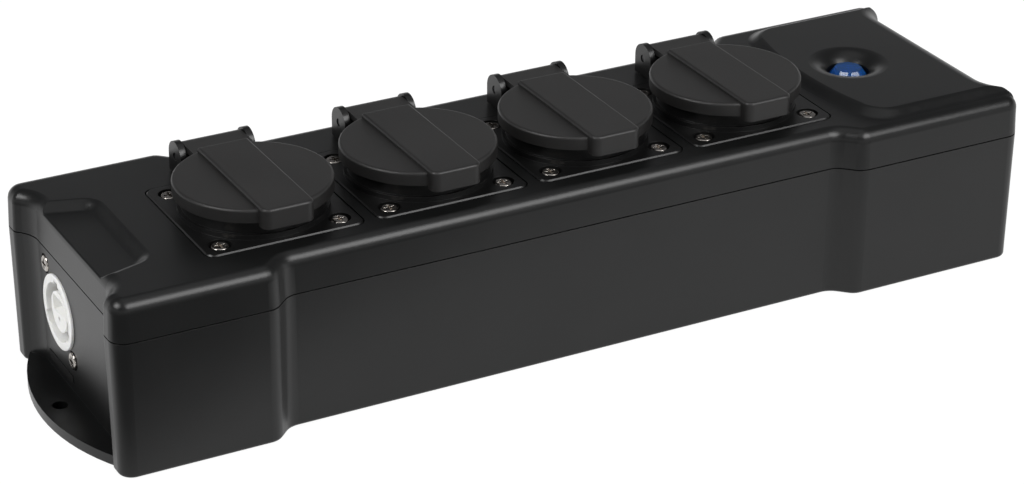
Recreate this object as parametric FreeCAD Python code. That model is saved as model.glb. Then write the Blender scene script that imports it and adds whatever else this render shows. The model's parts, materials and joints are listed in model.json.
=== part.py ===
# Power distribution box: a moulded two-part housing with a row of lidded panel sockets in its deck,
# a twist-lock connector in each end, a pilot lamp and a mounting ear at each foot. Millimetres.
# X runs along the box, Y towards its back, Z up; the origin is the middle of the underside.
import FreeCAD, Part
import math
import os

# Row of sockets
SOCKET_COUNT = 4
SOCKET_PITCH = 54.2
LEFT_REACH = 60.4          # left end to the first socket's centre
RIGHT_REACH = 87.7         # last socket's centre to the right end
ROW_SHIFT = -5.2           # row's centre line from the box's middle, towards the front

# Housing outline
WIDTH = 90.8               # across the end blocks
WAIST_STEP = 6.0           # waist beside the sockets, set in from the blocks
HEIGHT = 56.8              # underside to deck
COVER_HEIGHT = 12.6        # parting plane to deck
LEFT_BLOCK = 52.6          # end to the middle of the step into the waist
RIGHT_BLOCK = 64.0
STEP_RUN = 6.2             # length of the slanted step between block and waist
STEP_R = 6.0
PILLAR_WIDTH = 8.7         # end of a corner pillar
PILLAR_R = 2.2             # pillar's edge towards the end wall
END_RECESS = 4.4           # end wall set back between the corner pillars
END_RUN = 5.0              # slanted cheek between pillar and end wall
END_R = 10.0               # hollow between cheek and end wall
TOP_R = 4.0
CORNER_EXTRA = 1.0         # upright edges rounder than the top edge
INNER_R = 0.4              # least rounding of an inside corner
BOTTOM_R = 1.2
TRAY_DRAFT = 0.7           # degrees
COVER_DRAFT = 2.0
WALL = 3.0
FLOOR = 3.0
ROOF = 3.0
DECK = 2.5                 # plate left under the flange recesses

# Seam between tray and cover
SEAM_GAP = 0.4
SEAM_DEPTH = 0.8
TONGUE_FROM = 1.7          # outer face of the tongue from the outside of the wall
TONGUE_DEPTH = 1.8
TONGUE_CLEARANCE = 0.2

# Sunken pocket on the left end and raised plateau on the right end
POCKET_DEPTH = 2.3
POCKET_REACH = 22.0        # end to the pocket's inner edge
POCKET_MARGIN = 9.2        # pocket's inner edge narrower than the end wall, each side
POCKET_FLARE = 0.3         # widening of each side per length
POCKET_R = 7.0
POCKET_SLOPE = 4.4
POCKET_EDGE_R = 0.8
PLATEAU_HEIGHT = 2.2
PLATEAU_GAP = 5.4          # last flange recess to the plateau's nearest point
PLATEAU_MARGIN = 7.0       # foot of the plateau's side slope in from the block's side
PLATEAU_ARC_R = 130.0
PLATEAU_CORNER_R = 10.0
PLATEAU_SLOPE = 4.6
PLATEAU_EDGE_R = 6.0

# Mounting ears
EAR_REACH = 7.4            # beyond the corner pillars
EAR_R = 73.0
EAR_THICKNESS = 3.2
EAR_HOLE_D = 4.8
EAR_HOLE_INSET = 5.8       # hole's centre from the ear's tip

# Screws in general
SCREW_FIT = 0.03           # radial, shank in the hole that it bites into
SCREW_CLEARANCE = 0.2      # radial, shank in a through hole
HEAD_CLEARANCE = 0.4       # radial, head in its counterbore
HEAD_ROUNDING = 0.45       # crown's radius, as a share of the head's height
CROSS_SPAN = 0.62          # recess, as shares of the head's diameter and height
CROSS_WIDTH = 0.14
CROSS_DEPTH = 0.6

# Case screws, from below
CASE_SCREW_D = 3.5
CASE_HEAD_D = 6.4
CASE_HEAD_HEIGHT = 2.4
CASE_HEAD_SUNK = 3.0
CASE_POST_D = 8.5
CASE_GRIP = 5.0            # depth of the hole in the cover
CASE_TIP_GAP = 0.5         # left past the screw's tip
CASE_SCREW_END_INSET = 18.0
CASE_SCREW_SIDE_INSET = 11.0
CASE_SCREW_WAIST_INSET = 6.3

# Panel socket
FLANGE = 50.0
FLANGE_R = 3.0
FLANGE_THICKNESS = 3.0
FLANGE_PROUD = 0.3
FLANGE_CLEARANCE = 0.4
FLANGE_CHAMFER = 0.4
GASKET_THICKNESS = 1.0
GASKET_INSET = 0.4
HOLE_PATTERN = 38.0
FLANGE_SCREW_D = 3.0
FLANGE_HEAD_D = 5.6
FLANGE_HEAD_HEIGHT = 1.5
HEAD_RECESS_D = 6.9
HEAD_RECESS_DEPTH = 1.7
FLANGE_SCREW_LENGTH = 9.0
SCREW_BOSS_D = 6.4
SCREW_BOSS_DEPTH = 5.0
COLLAR_HEIGHT = 7.0
COLLAR_WALL = 2.1
COLLAR_STEP = 1.1          # foot of the collar, wider all round
COLLAR_STEP_HEIGHT = 1.6
BARREL_WALL = 1.7
BARREL_CLEARANCE = 0.3
CUP_DEPTH = 17.5
CUP_FLOOR = 3.5
POLE_SPACING = 19.0
POLE_HOLE_D = 5.6
GUIDE_WIDTH = 5.0
GUIDE_DEPTH = 1.4

# Rear cap and contacts of a socket
CAP_D = 40.0
CAP_DEPTH = 17.0
CAP_FLOOR = 1.6
CONTACT_CLEARANCE = 0.15
SLEEVE_D = 6.6
SLEEVE_BORE_D = 5.0
SLEEVE_SLIT = 0.8
TERMINAL_WIDTH = 6.6
TERMINAL_NEAR = 2.6        # terminal block's nearer and farther face from the pole's centre
TERMINAL_FAR = 13.0
TERMINAL_HEIGHT = 8.0
CLAMP_SCREW_D = 3.0
CLAMP_HEAD_D = 4.8
CLAMP_HEAD_LENGTH = 1.8
CLAMP_HEAD_CLEARANCE = 0.3
CLAMP_BITE = 3.0           # length of a clamp screw in its block
CLAMP_NECK = 1.0           # between its head and the block
CLAMP_SLOT = 1.2
CLIP_WIDTH = 6.0
CLIP_THICKNESS = 0.8
CLIP_SET = 0.8             # earth tongue in from the cup's side
CLIP_BULGE = 2.2
CLIP_TOP = 2.0             # tongue tip above the flange
CLIP_FOOT = 1.0            # straight foot of a tongue above the cup's floor
CLIP_TIP_SET = 0.4         # tip in from the foot
EARTH_BLOCK = 7.0

# Lid and hinge
LID_D = 48.0
LID_TOP = 10.2             # disc's upper face above the flange
LID_RIM_BOTTOM = 6.0
LID_PLATE = 2.0
LID_RIM_WALL = 1.75
LID_COLLAR_GAP = 0.65      # between the lid's rim and the collar
LID_EDGE_R = 0.9
BAND_WIDTH = 16.4
BAND_RISE = 1.3
TAB_REACH = 2.8            # tab's front edge past the lid's edge
BAND_CORNER_R = 2.6
BAND_END = 1.5             # band's rear end in from the lid's edge
TAB_BOTTOM = 5.2
TAB_LAP = 1.4              # tab's rear edge in from the lid's edge
SEAL_CLEARANCE = 0.45
SEAL_WIDTH = 2.4
SEAL_GAP = 0.2
HINGE_REACH = 6.6          # hinge axis behind the lid's edge
HINGE_RISE = 5.9           # hinge axis above the flange
HINGE_BARREL_R = 4.2
HINGE_STRIP_WIDTH = 19.6
HINGE_STRIP_LAP = 4.4      # hinge strip over the lid
HINGE_SIDE_GAP = 0.3
HINGE_EAR_THICKNESS = 2.1
HINGE_EAR_R = 4.9
HINGE_BASE_HEIGHT = 1.4
HINGE_BASE_LAP = 4.0       # hinge base under the lid
PIN_D = 2.5
PIN_FIT = 0.03             # radial, pin in the ears
PIN_RUNNING = 0.08         # radial, pin in the lid's barrel
SPRING_WIRE = 0.7
SPRING_COIL_D = 4.0        # at the wire's centre
SPRING_TURNS = 5
SPRING_NOTCH = 0.15        # between the crowns of two turns
SPRING_ROOM = 0.3
SPRING_SLOT = 10.0
SPRING_TAIL = 0.8
PIN_SUNK = 0.3             # pin's ends below the ears' outer faces

# Twist-lock end connectors
CONNECTOR_MARGIN = 18.2    # connector's centre from the end wall's rear edge
CONNECTOR_DROP = 17.7      # connector's centre below the parting plane
CONNECTOR_RING_D = 23.6
CONNECTOR_CLEARANCE = 0.2
CONNECTOR_PROUD = 0.5
CONNECTOR_MOUTH_D = 18.4
CONNECTOR_MOUTH_DEPTH = 14.0
CONNECTOR_CORE_D = 12.8
CONNECTOR_CORE_SUNK = 0.6
CONNECTOR_SCOOP = 2.6      # depth of the hollow in the core's face
CONNECTOR_SCOOP_WALL = 2.0
CONNECTOR_SCOOP_HEIGHT = 5.0
CONNECTOR_EYE_D = 1.6       # small hole in the core's tongue
CONNECTOR_EYE_DROP = 2.4
CONNECTOR_KEY_WIDTH = 3.4
CONNECTOR_KEY_DEPTH = 1.0
CONNECTOR_TAB_SUNK = 4.0   # contact's end below the core's face
CONNECTOR_PLATE_WIDTH = 26.0
CONNECTOR_PLATE_HEIGHT = 31.0
CONNECTOR_PLATE = 2.4
CONNECTOR_REAR_D = 22.0
CONNECTOR_REAR = 17.0
CONNECTOR_HOLES_X = 19.0
CONNECTOR_HOLES_Y = 24.0
CONNECTOR_SCREW_D = 3.0
CONNECTOR_HEAD_D = 5.4
CONNECTOR_HEAD_HEIGHT = 1.5
CONNECTOR_HEAD_SUNK = 0.9
CONNECTOR_SCREW_LENGTH = 7.0
PAD_MARGIN = 2.0
PAD_RELIEF = 0.9           # seat of a connector, in from the end wall's inner face at the parting plane
TAB_WIDTH = 4.8
TAB_THICKNESS = 0.8
TAB_LENGTH = 6.0
TAB_DEEP = 1.4             # contact's middle in from the core's side
TAB_ANGLES = {"line": 90, "earth": 210, "neutral": 330}

# Pilot lamp
LAMP_INSET = 19.7          # lamp's centre from the plateau's nearest point
LAMP_HOLE_D = 13.8
LAMP_DISH = 6.2            # width of the dish round the hole
LAMP_DISH_DEPTH = 3.0
LAMP_BOSS_D = 23.0
LAMP_BOSS_DEPTH = 9.0      # below the roof's underside
LAMP_LIP = 2.2             # ring left under the dish for the lens to bear on
LENS_D = 13.0
LENS_DOME = 3.2
LENS_DOME_SUNK = 0.7       # dome's top below the plateau
LENS_FLANGE_D = 16.4
LENS_FLANGE = 1.4
LENS_WALL = 1.2
LAMP_BORE_CLEARANCE = 0.2
HOLDER_THICKNESS = 3.0
LED_D = 5.0
LED_CLEARANCE = 0.15
LED_FLANGE_D = 5.8
LED_FLANGE = 1.2
LED_GAP = 0.4              # light source's top below the lens's ceiling
LED_PIN_D = 0.6
LED_PIN_SPACING = 2.54
LED_PIN_LENGTH = 4.0
RING_HEIGHT = 2.6
RING_BORE_D = 9.0

# Wiring
WIRE_D = 2.8
WIRE_BEND_R = 8.0
WIRE_TIGHT_R = 4.2
WIRE_SPREAD = 3.4          # between the two wires in one terminal
WIRE_DROP = 9.0            # line wires hang this far below the terminals
WIRE_LAYER = 3.5           # earth and neutral hang below the line in layers
TAB_STUB = 5.0             # straight run off a connector's tab
LEAD_D = 1.2
LEAD_BEND_R = 4.0
LEAD_DROP = 4.8            # lamp's line lead below the terminals; its neutral lead is a layer lower
LEAD_LAYER = 2.5
LEAD_ASIDE = 3.4           # lead beside the wires in a terminal

V = FreeCAD.Vector
UP = V(0, 0, 1)
TERMINALS = ["line", "neutral", "earth"]
LENGTH = LEFT_REACH + SOCKET_PITCH * (SOCKET_COUNT - 1) + RIGHT_REACH
LEFT_END = -LENGTH / 2
RIGHT_END = LENGTH / 2
PARTING = HEIGHT - COVER_HEIGHT
SOCKET_X = [LEFT_END + LEFT_REACH + SOCKET_PITCH * index for index in range(SOCKET_COUNT)]
FLANGE_TOP = HEIGHT + FLANGE_PROUD
RECESS_SIDE = FLANGE + 2 * FLANGE_CLEARANCE
RECESS_DEPTH = FLANGE_THICKNESS + GASKET_THICKNESS - FLANGE_PROUD
CEILING = HEIGHT - RECESS_DEPTH - DECK
PLATEAU_LEFT = SOCKET_X[-1] + RECESS_SIDE / 2 + PLATEAU_GAP
LAMP_X = PLATEAU_LEFT + LAMP_INSET
PLATEAU_TOP = HEIGHT + PLATEAU_HEIGHT
PLATEAU_WIDTH = WIDTH - 2 * PLATEAU_MARGIN
WAIST_WIDTH = WIDTH - 2 * WAIST_STEP
END_FLAT = WIDTH - 2 * (PILLAR_WIDTH + END_RUN)
CORNER_R = TOP_R + CORNER_EXTRA
POCKET_INNER_WIDTH = END_FLAT - 2 * POCKET_MARGIN
CONNECTOR_SHIFT = END_FLAT / 2 - CONNECTOR_MARGIN
CONNECTOR_RISE = PARTING - CONNECTOR_DROP
TAB_CIRCLE_R = CONNECTOR_CORE_D / 2 - TAB_DEEP
LID_R = LID_D / 2
LID_HOLLOW_D = LID_D - 2 * LID_RIM_WALL
COLLAR_D = LID_HOLLOW_D - 2 * LID_COLLAR_GAP
CUP_D = COLLAR_D - 2 * COLLAR_WALL
BARREL_D = CUP_D + 2 * BARREL_WALL
CLIP_SPAN = CUP_D - 2 * CLIP_SET
HINGE_BACK = LID_R + HINGE_REACH
CAP_TOP = COLLAR_HEIGHT - CUP_DEPTH - CUP_FLOOR
CAP_BOTTOM = CAP_TOP - CAP_DEPTH
END_WALL = LENGTH / 2 - END_RECESS
SEAT_X = END_WALL - WALL - PAD_RELIEF
CUT_MARGIN = 20.0       # how far cutting tools run past the housing
ENDS = {"outlet": -1, "inlet": 1}


def box(x0, x1, y0, y1, z0, z1):
    return Part.makeBox(x1 - x0, y1 - y0, z1 - z0, V(x0, y0, z0))


def rod(diameter, z0, z1, x=0.0, y=0.0):
    return Part.makeCylinder(diameter / 2, z1 - z0, V(x, y, z0))


def rod_along_x(diameter, x0, x1, y, z):
    return Part.makeCylinder(diameter / 2, x1 - x0, V(x0, y, z), V(1, 0, 0))


def rod_along_y(diameter, y0, y1, x, z):
    return Part.makeCylinder(diameter / 2, y1 - y0, V(x, y0, z), V(0, 1, 0))


def tube(outer, inner, z0, z1, x=0.0, y=0.0):
    return rod(outer, z0, z1, x, y).cut(rod(inner, z0, z1, x, y))


def prism(wire, height):
    return Part.Face(wire).extrude(V(0, 0, height))


def moved(shape, x, y, z):
    copy = shape.copy()
    copy.translate(V(x, y, z))
    return copy


def edges_at_height(shape, z):
    return [edge for edge in shape.Edges if all(abs(v.Z - z) < 1e-4 for v in edge.Vertexes)]


def rounded_wire(corners, z):
    """Closed outline through (x, y, radius) corners, each rounded by a tangent arc."""
    arcs = []
    for index, (x, y, radius) in enumerate(corners):
        corner = V(x, y, z)
        before = corners[index - 1]
        after = corners[(index + 1) % len(corners)]
        back = (V(before[0], before[1], z) - corner).normalize()
        ahead = (V(after[0], after[1], z) - corner).normalize()
        half = back.getAngle(ahead) / 2
        inward = (back + ahead).normalize()
        reach = radius / math.tan(half)
        middle = corner + inward * (radius / math.sin(half) - radius)
        arcs.append((corner + back * reach, middle, corner + ahead * reach))
    edges = []
    for index, (start, middle, end) in enumerate(arcs):
        edges.append(Part.Arc(start, middle, end).toShape())
        edges.append(Part.LineSegment(end, arcs[(index + 1) % len(arcs)][0]).toShape())
    return Part.Wire(edges)


def inset(corners, distance):
    """Anticlockwise corners moved in; outer corners get tighter and inner ones wider."""
    result = []
    for index, (x, y, radius) in enumerate(corners):
        before = corners[index - 1]
        after = corners[(index + 1) % len(corners)]
        along = V(x - before[0], y - before[1], 0).normalize()
        onward = V(after[0] - x, after[1] - y, 0).normalize()
        turn = along.cross(onward).z
        left = V(-along.y, along.x, 0)
        next_left = V(-onward.y, onward.x, 0)
        shift = (left + next_left) * (distance / (1 + left.dot(next_left)))
        new_radius = max(radius - distance, INNER_R) if turn > 0 else radius + distance
        result.append((x + shift.x, y + shift.y, new_radius))
    return result


def square_corners(side_x, side_y, radius):
    half_x = side_x / 2
    half_y = side_y / 2
    return [(-half_x, -half_y, radius), (half_x, -half_y, radius),
            (half_x, half_y, radius), (-half_x, half_y, radius)]


def rounded_plate(side_x, side_y, radius, z0, z1):
    return prism(rounded_wire(square_corners(side_x, side_y, radius), z0), z1 - z0)


def housing_corners():
    """Plan outline at the parting plane: two blocks, a waist, and end walls set back between pillars."""
    block = WIDTH / 2
    waist = WAIST_WIDTH / 2
    flat = END_FLAT / 2
    pillar = flat + END_RUN
    left_step = LEFT_END + LEFT_BLOCK
    right_step = RIGHT_END - RIGHT_BLOCK
    half_run = STEP_RUN / 2
    front = [(-END_WALL, -flat, END_R), (LEFT_END, -pillar, PILLAR_R), (LEFT_END, -block, CORNER_R),
             (left_step - half_run, -block, STEP_R), (left_step + half_run, -waist, STEP_R),
             (right_step - half_run, -waist, STEP_R), (right_step + half_run, -block, STEP_R),
             (RIGHT_END, -block, CORNER_R), (RIGHT_END, -pillar, PILLAR_R), (END_WALL, -flat, END_R)]
    back = [(x, -y, radius) for x, y, radius in reversed(front)]
    return front + back


def wall_inset(z):
    """How far the drafted outside of the housing lies in from its outline at a height."""
    draft = COVER_DRAFT if z > PARTING else TRAY_DRAFT
    return abs(z - PARTING) * math.tan(math.radians(draft))


def housing_block(z0, z1, wall=0.0):
    """Solid of the housing's drafted outline, or of its inside when a wall is given."""
    corners = housing_corners()
    wires = [rounded_wire(inset(corners, wall_inset(z) + wall), z) for z in (z0, z1)]
    return Part.makeLoft(wires, True, True)


def housing_ring(outer, inner, z0, z1):
    """Upright ring that follows the outline, between two distances in from it."""
    corners = housing_corners()
    outside = prism(rounded_wire(inset(corners, outer), z0), z1 - z0)
    inside = prism(rounded_wire(inset(corners, inner), z0), z1 - z0)
    return outside.cut(inside)


def soft_step(wire_at, height, run, sections=5):
    """Solid whose side is an S-shaped slope; wire_at(grow, rise) gives its outline."""
    wires = []
    for index in range(sections):
        share = index / (sections - 1)
        rise = height * (1 - math.cos(math.pi * share)) / 2
        wires.append(wire_at(run * (0.5 - share), rise))
    return Part.makeLoft(wires, True, False)


def plateau_wire(grow, z):
    """Plateau outline: a long arc towards the sockets, two round corners, open past the end wall."""
    arc_r = PLATEAU_ARC_R + grow
    half = PLATEAU_WIDTH / 2 + grow
    corner_r = PLATEAU_CORNER_R + grow
    far = RIGHT_END + CUT_MARGIN
    arc_centre = V(PLATEAU_LEFT + PLATEAU_ARC_R, 0, z)
    corner_y = half - corner_r
    corner_x = arc_centre.x - math.sqrt((arc_r - corner_r) ** 2 - corner_y ** 2)
    front_corner = V(corner_x, -corner_y, z)
    outward = (front_corner - arc_centre).normalize()
    front_meet = arc_centre + outward * arc_r
    back_meet = V(front_meet.x, -front_meet.y, z)
    bisector = (outward + V(0, -1, 0)).normalize()
    front_mid = front_corner + bisector * corner_r
    back_mid = V(front_mid.x, -front_mid.y, z)
    front_end = V(corner_x, -half, z)
    back_end = V(corner_x, half, z)
    far_front = V(far, -half, z)
    far_back = V(far, half, z)
    return Part.Wire([
        Part.LineSegment(front_end, far_front).toShape(),
        Part.LineSegment(far_front, far_back).toShape(),
        Part.LineSegment(far_back, back_end).toShape(),
        Part.Arc(back_end, back_mid, back_meet).toShape(),
        Part.Arc(back_meet, V(arc_centre.x - arc_r, 0, z), front_meet).toShape(),
        Part.Arc(front_meet, front_mid, front_end).toShape()])


def pocket_wire(grow, z):
    """Pocket outline: a trapezoid that widens towards the left end and runs out past it."""
    inner = LEFT_END + POCKET_REACH
    outer = LEFT_END - CUT_MARGIN
    half_inner = POCKET_INNER_WIDTH / 2
    half_outer = half_inner + POCKET_FLARE * (inner - outer)
    corners = [(outer, -half_outer, POCKET_R), (inner, -half_inner, POCKET_R),
               (inner, half_inner, POCKET_R), (outer, half_outer, POCKET_R)]
    return rounded_wire(inset(corners, -grow), z)


def case_screw_places():
    end = LENGTH / 2 - CASE_SCREW_END_INSET
    side = WIDTH / 2 - CASE_SCREW_SIDE_INSET
    middle = (SOCKET_X[SOCKET_COUNT // 2 - 1] + SOCKET_X[SOCKET_COUNT // 2]) / 2
    waist_side = WAIST_WIDTH / 2 - CASE_SCREW_WAIST_INSET
    corners = [(x, y) for x in (-end, end) for y in (-side, side)]
    return corners + [(middle, -waist_side), (middle, waist_side)]


def flange_screw_places():
    half = HOLE_PATTERN / 2
    return [(x, y) for x in (-half, half) for y in (-half, half)]


def make_upper_cover():
    cover = housing_block(PARTING, HEIGHT)
    cover = cover.makeFillet(TOP_R, edges_at_height(cover, HEIGHT))

    tall = housing_block(PARTING, PLATEAU_TOP)
    tall = tall.makeFillet(PLATEAU_EDGE_R, edges_at_height(tall, PLATEAU_TOP))
    rise = soft_step(lambda grow, z: plateau_wire(grow, HEIGHT + z), PLATEAU_HEIGHT, PLATEAU_SLOPE)
    foot = prism(plateau_wire(PLATEAU_SLOPE / 2, PARTING + ROOF), HEIGHT - PARTING - ROOF)
    cover = cover.fuse(tall.common(foot.fuse(rise)))

    pocket = soft_step(lambda grow, z: pocket_wire(grow - POCKET_SLOPE / 2, HEIGHT - z),
                       POCKET_DEPTH, POCKET_SLOPE)
    above = prism(pocket_wire(0, HEIGHT), CUT_MARGIN)
    cover = cover.cut(pocket.fuse(above))
    floor_z = HEIGHT - POCKET_DEPTH
    edge_x = -END_WALL + wall_inset(floor_z)
    half_edge = POCKET_INNER_WIDTH / 2 + POCKET_FLARE * (POCKET_REACH - END_RECESS) - POCKET_SLOPE
    round_bar = rod_along_y(2 * POCKET_EDGE_R, -half_edge, half_edge,
                            edge_x + POCKET_EDGE_R, floor_z - POCKET_EDGE_R)
    corner = box(edge_x - POCKET_EDGE_R, edge_x + POCKET_EDGE_R, -half_edge, half_edge,
                 floor_z - POCKET_EDGE_R, floor_z)
    cover = cover.cut(corner.cut(round_bar))

    cavity = housing_block(PARTING, HEIGHT - ROOF, WALL)
    thick_deck = box(LEFT_END, PLATEAU_LEFT, -WIDTH, WIDTH, CEILING, HEIGHT)
    cover = cover.cut(cavity.cut(thick_deck))
    cover = cover.fuse(housing_ring(TONGUE_FROM, WALL, PARTING - TONGUE_DEPTH, PARTING + SEAM_DEPTH))

    posts = []
    holes = []
    for x, y in case_screw_places():
        posts.append(rod(CASE_POST_D, PARTING, HEIGHT - ROOF, x, y))
        holes.append(rod(CASE_SCREW_D + 2 * SCREW_FIT, PARTING, PARTING + CASE_GRIP, x, y))
    for centre in SOCKET_X:
        recess = rounded_plate(RECESS_SIDE, RECESS_SIDE, FLANGE_R + FLANGE_CLEARANCE,
                               HEIGHT - RECESS_DEPTH, HEIGHT + CUT_MARGIN)
        holes.append(moved(recess, centre, ROW_SHIFT, 0))
        holes.append(rod(BARREL_D + 2 * BARREL_CLEARANCE, PARTING, HEIGHT, centre, ROW_SHIFT))
        for x, y in flange_screw_places():
            place = (centre + x, ROW_SHIFT + y)
            posts.append(rod(SCREW_BOSS_D, CEILING - SCREW_BOSS_DEPTH, CEILING, *place))
            holes.append(rod(FLANGE_SCREW_D + 2 * SCREW_FIT, CEILING - SCREW_BOSS_DEPTH, HEIGHT, *place))
    posts.append(rod(LAMP_BOSS_D, HEIGHT - ROOF - LAMP_BOSS_DEPTH, HEIGHT - ROOF, LAMP_X))
    holes.append(lamp_hole())
    cover = cover.fuse(posts)
    return cover.cut(Part.makeCompound(holes)).removeSplitter()


def lamp_lip_bottom():
    return PLATEAU_TOP - LAMP_DISH_DEPTH - LAMP_LIP


def lamp_hole():
    """Stepped bore under a rounded dish, turned about the lamp's axis."""
    hole_r = LAMP_HOLE_D / 2
    bore_r = LENS_FLANGE_D / 2 + LAMP_BORE_CLEARANCE
    bottom = HEIGHT - ROOF - LAMP_BOSS_DEPTH
    lip = lamp_lip_bottom()
    rim = V(hole_r + LAMP_DISH, 0, PLATEAU_TOP)
    neck = V(hole_r, 0, PLATEAU_TOP - LAMP_DISH_DEPTH)
    swell_r = (LAMP_DISH ** 2 + LAMP_DISH_DEPTH ** 2) / (2 * LAMP_DISH_DEPTH)
    half_turn = math.atan2(LAMP_DISH_DEPTH, LAMP_DISH)
    swell = V(rim.x - swell_r * math.sin(half_turn), 0, PLATEAU_TOP - swell_r * (1 - math.cos(half_turn)))
    above = PLATEAU_TOP + LAMP_DISH
    points = [V(rim.x, 0, above), V(0, 0, above), V(0, 0, bottom), V(bore_r, 0, bottom),
              V(bore_r, 0, lip), V(hole_r, 0, lip), neck]
    edges = [Part.LineSegment(rim, points[0]).toShape()]
    edges += [Part.LineSegment(a, b).toShape() for a, b in zip(points, points[1:])]
    edges.append(Part.Arc(neck, swell, rim).toShape())
    turned = Part.Face(Part.Wire(edges)).revolve(V(0, 0, 0), UP, 360)
    return moved(turned, LAMP_X, 0, 0)


def make_ear(side):
    """Ear at the foot of one end: a circle's segment between the pillars, with a bolt hole."""
    tip = side * (LENGTH / 2 + EAR_REACH)
    disc = rod(2 * EAR_R, 0, EAR_THICKNESS, tip - side * EAR_R)
    inner = side * (END_WALL - WALL)
    half = END_FLAT / 2 + END_RUN
    window = box(min(inner, tip), max(inner, tip), -half, half, 0, EAR_THICKNESS)
    return disc.common(window)


def connector_places():
    """Screw places of a connector, in its own frame."""
    half_x = CONNECTOR_HOLES_X / 2
    half_y = CONNECTOR_HOLES_Y / 2
    return [(-half_x, half_y), (half_x, -half_y)]


def facing(side):
    """Turn that points +Z out of one end of the box and keeps +Y up."""
    return FreeCAD.Rotation(V(0, side, 0), UP, V(side, 0, 0), "ZYX")


def at_end(shape, side, base_x):
    """Put a shape that faces +Z with +Y up onto one end of the box, facing out."""
    base = V(side * base_x, CONNECTOR_SHIFT, CONNECTOR_RISE)
    copy = shape.copy()
    copy.Placement = FreeCAD.Placement(base, facing(side)).multiply(copy.Placement)
    return copy


def make_lower_tray():
    tray = housing_block(0, PARTING)
    tray = tray.makeFillet(BOTTOM_R, edges_at_height(tray, 0))
    tray = tray.cut(housing_block(FLOOR, PARTING, WALL))
    rebate = TONGUE_FROM - TONGUE_CLEARANCE
    added = []
    holes = [housing_ring(-SEAM_DEPTH, SEAM_DEPTH, PARTING - SEAM_GAP, PARTING),
             housing_ring(rebate, WALL + SEAM_DEPTH, PARTING - TONGUE_DEPTH - TONGUE_CLEARANCE, PARTING)]
    for x, y in case_screw_places():
        added.append(rod(CASE_POST_D, FLOOR / 2, PARTING, x, y))
        holes.append(rod(CASE_SCREW_D + 2 * SCREW_CLEARANCE, 0, PARTING, x, y))
        holes.append(rod(CASE_HEAD_D + 2 * HEAD_CLEARANCE, 0, CASE_HEAD_SUNK, x, y))
    pad = rounded_plate(CONNECTOR_PLATE_WIDTH + PAD_MARGIN, CONNECTOR_PLATE_HEIGHT + PAD_MARGIN,
                        PAD_MARGIN, 0, WALL / 2 + PAD_RELIEF)
    for side in ENDS.values():
        added.append(make_ear(side))
        added.append(at_end(pad, side, SEAT_X))
        hole = rod(CONNECTOR_RING_D + 2 * CONNECTOR_CLEARANCE, 0, END_RECESS + WALL)
        holes.append(at_end(hole, side, SEAT_X))
        face = END_WALL - wall_inset(CONNECTOR_RISE)
        for x, y in connector_places():
            bore = rod(CONNECTOR_SCREW_D + 2 * SCREW_CLEARANCE, 0, END_RECESS + WALL, x, y)
            sink = rod(CONNECTOR_HEAD_D + 2 * HEAD_CLEARANCE, 0, END_RECESS, x, y)
            holes.append(at_end(bore, side, SEAT_X))
            holes.append(at_end(sink, side, face - CONNECTOR_HEAD_SUNK))
        ear_hole_x = side * (LENGTH / 2 + EAR_REACH - EAR_HOLE_INSET)
        holes.append(rod(EAR_HOLE_D, 0, EAR_THICKNESS, ear_hole_x))
    tray = tray.fuse(added)
    return tray.cut(Part.makeCompound(holes)).removeSplitter()


def cross_head_screw(head_d, head_height, shank_d, length):
    """Pan-head screw pointing down, with its head's seat at z = 0 and a cross recess in its crown."""
    head = rod(head_d, 0, head_height)
    head = head.makeFillet(head_height * HEAD_ROUNDING, edges_at_height(head, head_height))
    screw = head.fuse(rod(shank_d, -length, 0))
    arm = head_d * CROSS_SPAN
    slot = head_d * CROSS_WIDTH
    depth = head_height * CROSS_DEPTH
    for long_x, long_y in ((arm, slot), (slot, arm)):
        screw = screw.cut(box(-long_x / 2, long_x / 2, -long_y / 2, long_y / 2,
                              head_height - depth, head_height))
    return screw


def make_case_screws():
    seat = CASE_HEAD_SUNK
    length = PARTING + CASE_GRIP - CASE_TIP_GAP - seat
    screw = cross_head_screw(CASE_HEAD_D, CASE_HEAD_HEIGHT, CASE_SCREW_D, length)
    screw.rotate(V(0, 0, 0), V(1, 0, 0), 180)
    return Part.makeCompound([moved(screw, x, y, seat) for x, y in case_screw_places()])


def make_flange_screws():
    screw = cross_head_screw(FLANGE_HEAD_D, FLANGE_HEAD_HEIGHT, FLANGE_SCREW_D, FLANGE_SCREW_LENGTH)
    seat = FLANGE_TOP - HEAD_RECESS_DEPTH
    return Part.makeCompound([moved(screw, centre + x, ROW_SHIFT + y, seat)
                              for centre in SOCKET_X for x, y in flange_screw_places()])


def hinge_ear(x0, x1):
    """Round-topped cheek that carries the hinge pin, standing on the hinge base."""
    front = HINGE_BACK - HINGE_EAR_R
    back = HINGE_BACK + HINGE_EAR_R
    foot_front = V(x0, front, 0)
    foot_back = V(x0, back, 0)
    side_front = V(x0, front, HINGE_RISE)
    side_back = V(x0, back, HINGE_RISE)
    crown = V(x0, HINGE_BACK, HINGE_RISE + HINGE_EAR_R)
    outline = Part.Wire([
        Part.LineSegment(foot_front, side_front).toShape(),
        Part.Arc(side_front, crown, side_back).toShape(),
        Part.LineSegment(side_back, foot_back).toShape(),
        Part.LineSegment(foot_back, foot_front).toShape()])
    return Part.Face(outline).extrude(V(x1 - x0, 0, 0))


def hinge_half_width():
    return HINGE_STRIP_WIDTH / 2 + HINGE_SIDE_GAP + HINGE_EAR_THICKNESS


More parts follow.
